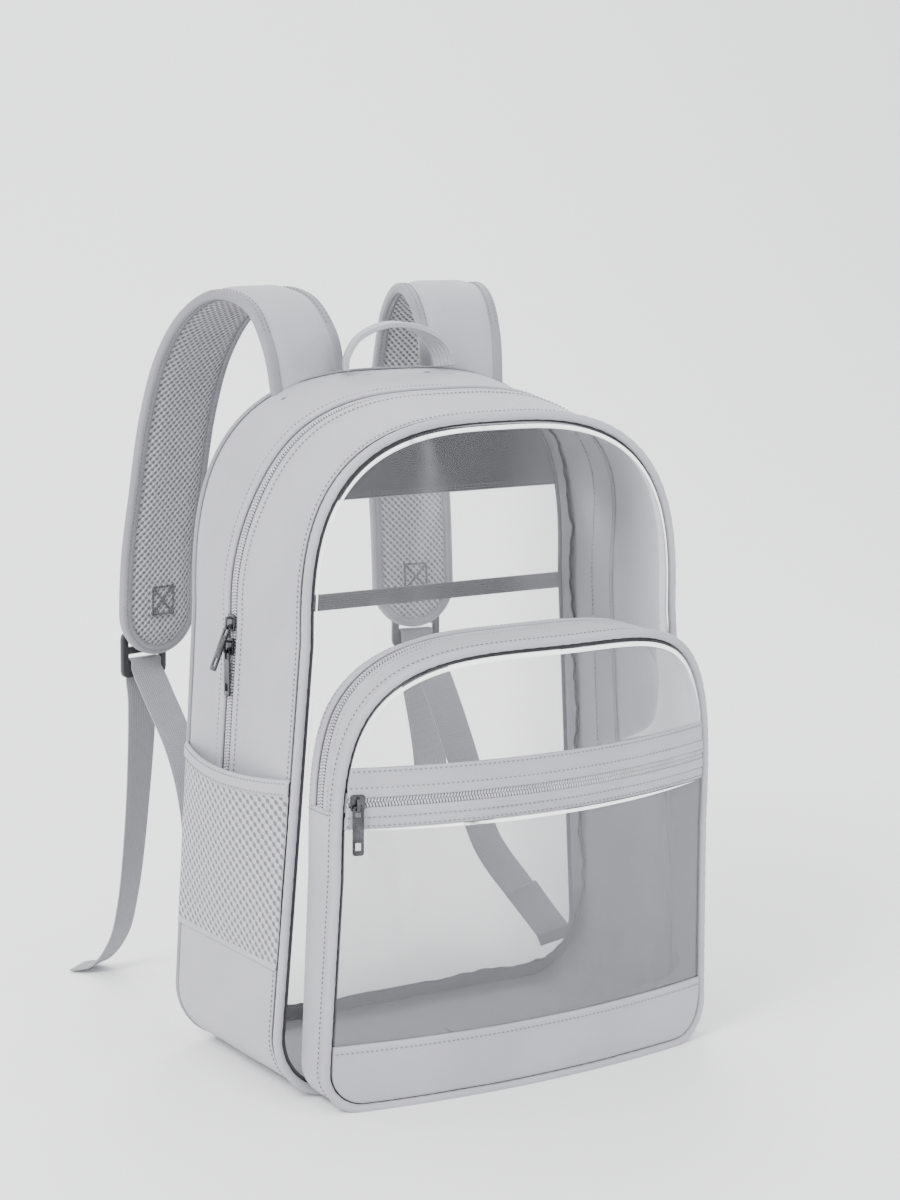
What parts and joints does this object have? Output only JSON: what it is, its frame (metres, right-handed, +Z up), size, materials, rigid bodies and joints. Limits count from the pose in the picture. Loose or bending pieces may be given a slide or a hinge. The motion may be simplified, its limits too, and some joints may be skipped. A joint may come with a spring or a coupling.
{
  "type": "clear stadium backpack",
  "caption": "Clear backpack with a cloth frame, arch zippers, a front pocket, net side pockets and padded shoulder straps, standing on its base.",
  "frame": {"origin": "centre of the main bag's base, on the floor", "axes": "+Z up, the front with its pocket faces -Y, the back with the shoulder straps faces +Y, +X to the right seen from the front"},
  "size_m": [0.3238, 0.4059, 0.4918],
  "materials": {
    "cloth": "matte woven polyester, light grey",
    "clear": "clear soft sheet",
    "webbing": "ribbed grey webbing",
    "net": "grey net",
    "coil": "grey nylon coil",
    "metal": "gunmetal plated zinc",
    "plastic": "black moulded"
  },
  "bodies": {
    "bag": {"back_binding": "cloth", "back_cross_strap": "webbing", "back_panel": "clear", "back_yoke": "cloth", "corner_tab_left": "webbing", "corner_tab_right": "webbing", "front_panel": "clear", "front_piping": "cloth", "front_slider": "metal", "front_zip_coil": "coil", "front_zip_lower_strip": "cloth", "front_zip_upper_strip": "cloth", "haul_handle": "webbing", "ladder_lock_left": "plastic", "ladder_lock_right": "plastic", "lower_webbing_left": "webbing", "lower_webbing_right": "webbing", "main_gusset_back_band": "cloth", "main_gusset_front_band": "cloth", "main_gusset_lower": "cloth", "main_lower_slider": "metal", "main_upper_slider": "metal", "main_zipper": "coil", "pocket_base_band": "cloth", "pocket_gusset_front_band": "cloth", "pocket_gusset_lower": "cloth", "pocket_gusset_rear_band": "cloth", "pocket_lower_panel": "clear", "pocket_piping": "cloth", "pocket_slider": "metal", "pocket_window": "clear", "pocket_zipper": "coil", "side_pocket_hem_left": "cloth", "side_pocket_hem_right": "cloth", "side_pocket_net_left": "net", "side_pocket_net_right": "net", "strap_binding_left": "cloth", "strap_binding_right": "cloth", "strap_lining_left": "net", "strap_lining_right": "net", "strap_loop_left": "webbing", "strap_loop_right": "webbing", "strap_pad_left": "cloth", "strap_pad_right": "cloth", "strap_patch_left": "webbing", "strap_patch_right": "webbing"},
    "main_upper_pull_body": {"main_upper_pull": "metal"},
    "main_lower_pull_body": {"main_lower_pull": "metal"},
    "front_pull_body": {"front_pull": "metal"},
    "pocket_pull_body": {"pocket_pull": "metal"}
  },
  "joints": [
    {"name": "main_upper_pull_swing", "type": "hinge", "parent": "bag", "child": "main_upper_pull_body", "pos_m": [-0.14681, 0.016, 0.28707], "axis": [0, 1, 0], "range_deg": [0, 140]},
    {"name": "main_lower_pull_swing", "type": "hinge", "parent": "bag", "child": "main_lower_pull_body", "pos_m": [-0.14784, 0.016, 0.27211], "axis": [0, 1, 0], "range_deg": [0, 30]},
    {"name": "front_pull_swing", "type": "hinge", "parent": "bag", "child": "front_pull_body", "pos_m": [-0.12893, -0.11486, 0.19529], "axis": [-0.9411, 0.3382, 0], "range_deg": [0, 140]},
    {"name": "pocket_pull_swing", "type": "hinge", "parent": "bag", "child": "pocket_pull_body", "pos_m": [0.14176, -0.0858, 0.20473], "axis": [0, -1, 0], "range_deg": [0, 140]}
  ]
}
